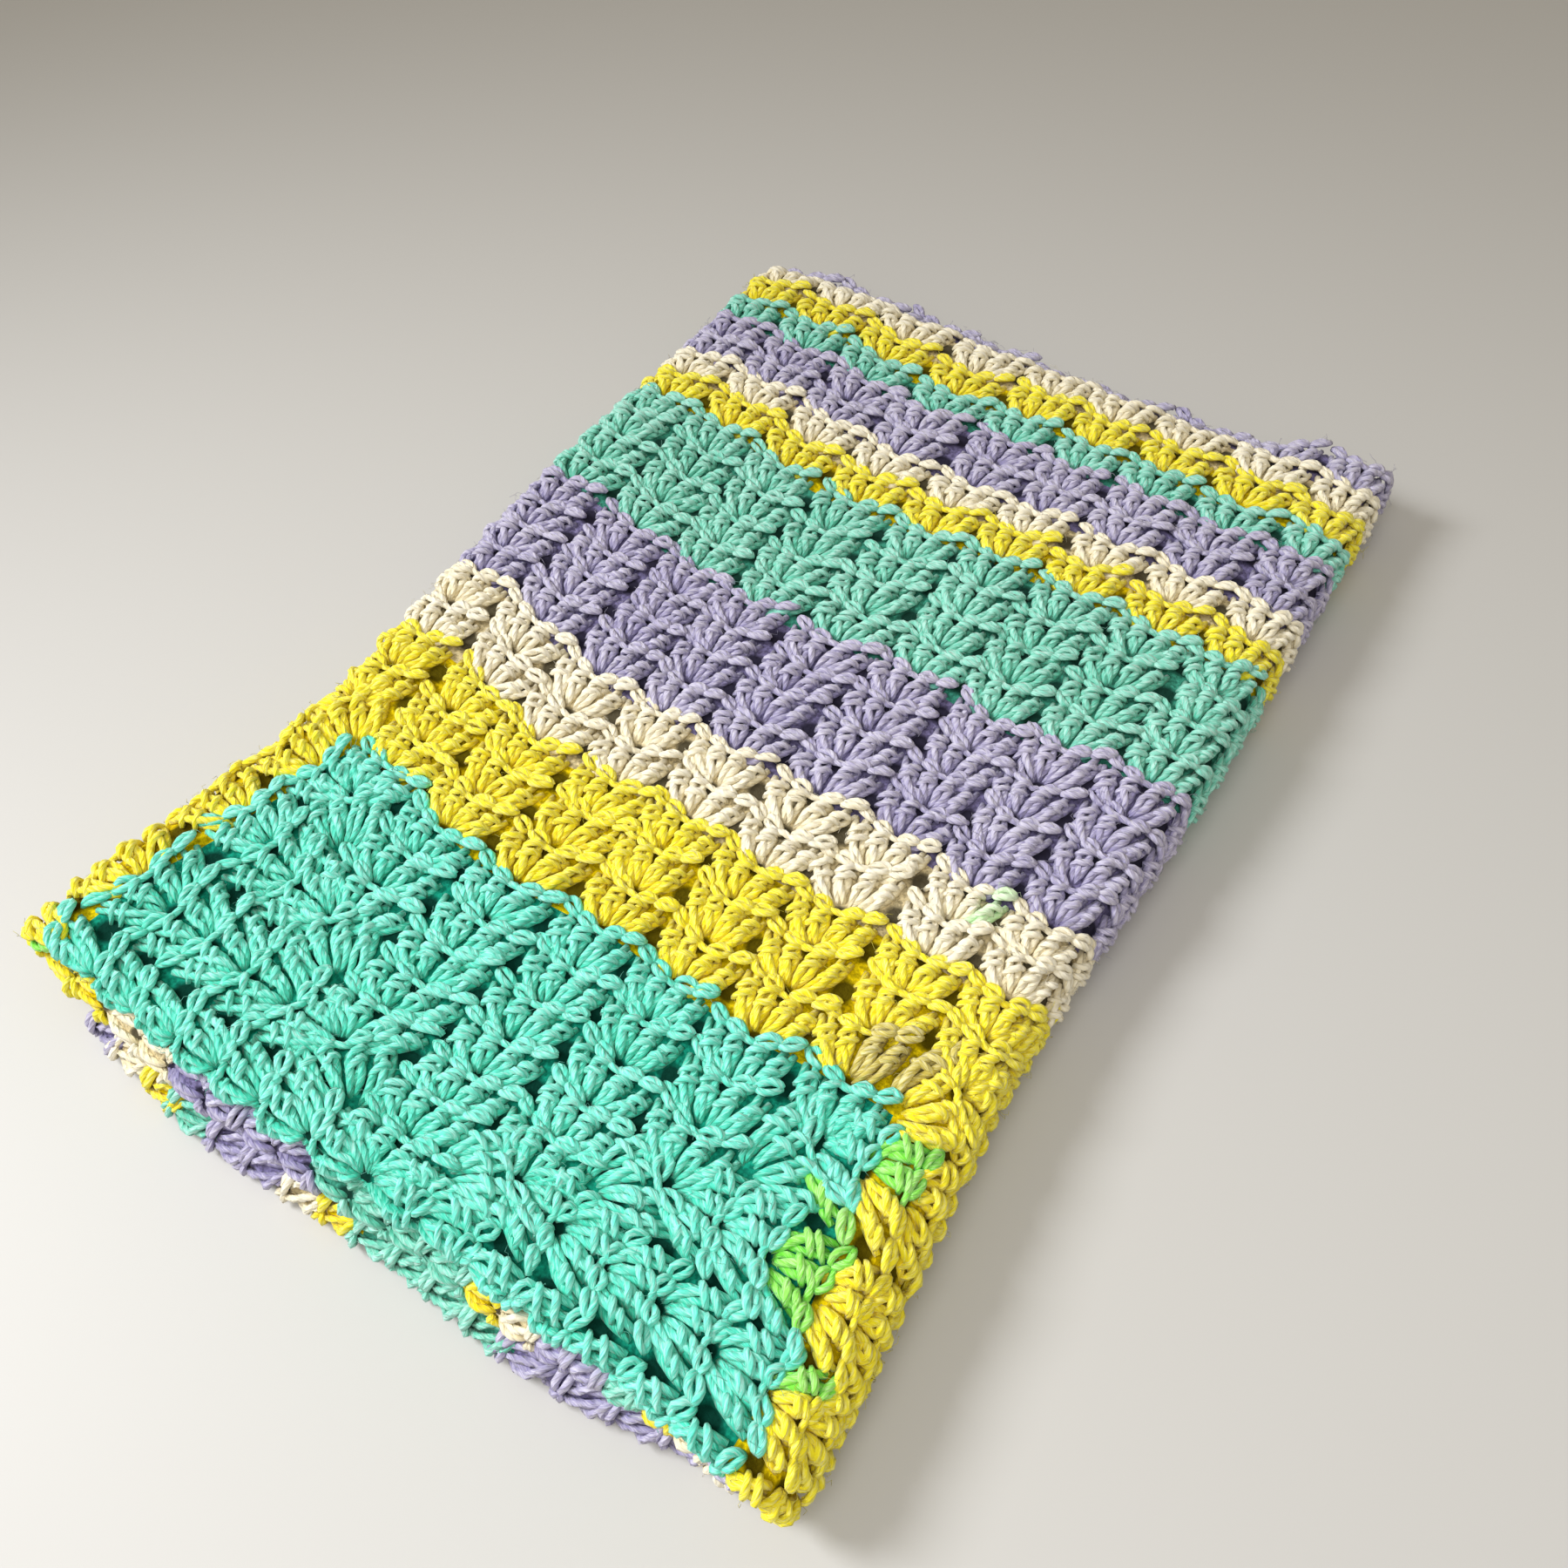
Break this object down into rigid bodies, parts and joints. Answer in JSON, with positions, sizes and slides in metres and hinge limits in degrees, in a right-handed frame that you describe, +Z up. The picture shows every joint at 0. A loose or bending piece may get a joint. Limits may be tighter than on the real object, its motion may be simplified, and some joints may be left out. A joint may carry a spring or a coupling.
{
  "type": "folded throw blanket",
  "caption": "Square crochet throw in pastel colour rounds, folded in half and then in thirds; the bundle turns over off its lower flap on the side fold.",
  "frame": {"origin": "on the resting plane, under the middle of the folded bundle", "axes": "+X across the bundle towards its outer side fold, +Y from the front fold towards the open hem edges, +Z up through the layers"},
  "size_m": [0.2358, 0.3506, 0.0261],
  "materials": {
    "teal_yarn": "matt, soft plied yarn",
    "yellow_yarn": "matt, soft plied yarn",
    "cream_yarn": "matt, soft plied yarn",
    "lavender_yarn": "matt, soft plied yarn",
    "mint_yarn": "matt, soft plied yarn"
  },
  "bodies": {
    "lower_flap": {"flap_cream_band": "cream_yarn", "flap_lavender_band": "lavender_yarn", "flap_mint_band": "mint_yarn", "flap_yellow_stripe": "yellow_yarn", "flap_cream_stripe": "cream_yarn", "flap_lavender_stripe": "lavender_yarn", "flap_mint_stripe": "mint_yarn", "flap_yellow_edging": "yellow_yarn", "flap_cream_edging": "cream_yarn", "flap_lavender_border": "lavender_yarn", "fold_yellow_band": "yellow_yarn", "fold_outside_cream_band": "cream_yarn", "fold_outside_lavender_band": "lavender_yarn", "fold_outside_mint_band": "mint_yarn", "fold_outside_yellow_stripe": "yellow_yarn", "fold_outside_cream_stripe": "cream_yarn", "fold_outside_lavender_stripe": "lavender_yarn", "fold_outside_mint_stripe": "mint_yarn", "fold_outside_yellow_edging": "yellow_yarn", "fold_outside_cream_edging": "cream_yarn", "fold_outside_lavender_border": "lavender_yarn", "fold_inside_cream_band": "cream_yarn", "fold_inside_lavender_band": "lavender_yarn", "fold_inside_mint_band": "mint_yarn", "fold_inside_yellow_stripe": "yellow_yarn", "fold_inside_cream_stripe": "cream_yarn", "fold_inside_lavender_stripe": "lavender_yarn", "fold_inside_mint_stripe": "mint_yarn", "fold_inside_yellow_edging": "yellow_yarn", "fold_inside_cream_edging": "cream_yarn", "fold_inside_lavender_border": "lavender_yarn"},
    "upper_bundle": {"bundle_teal_centre": "teal_yarn", "bundle_yellow_band": "yellow_yarn", "bundle_cream_band": "cream_yarn", "bundle_lavender_band": "lavender_yarn", "bundle_mint_band": "mint_yarn", "bundle_yellow_stripe": "yellow_yarn", "bundle_cream_stripe": "cream_yarn", "bundle_lavender_stripe": "lavender_yarn", "bundle_mint_stripe": "mint_yarn", "bundle_yellow_edging": "yellow_yarn", "bundle_cream_edging": "cream_yarn", "bundle_lavender_border": "lavender_yarn"}
  },
  "joints": [
    {"name": "side_fold_turn", "type": "hinge", "parent": "lower_flap", "child": "upper_bundle", "pos_m": [0.1149, 0, 0.01305], "axis": [0, 1, 0], "range_deg": [0, 180], "deforming": ["fold_yellow_band", "fold_outside_cream_band", "fold_outside_lavender_band", "fold_outside_mint_band", "fold_outside_yellow_stripe", "fold_outside_cream_stripe", "fold_outside_lavender_stripe", "fold_outside_mint_stripe", "fold_outside_yellow_edging", "fold_outside_cream_edging", "fold_outside_lavender_border", "fold_inside_cream_band", "fold_inside_lavender_band", "fold_inside_mint_band", "fold_inside_yellow_stripe", "fold_inside_cream_stripe", "fold_inside_lavender_stripe", "fold_inside_mint_stripe", "fold_inside_yellow_edging", "fold_inside_cream_edging", "fold_inside_lavender_border"]}
  ]
}
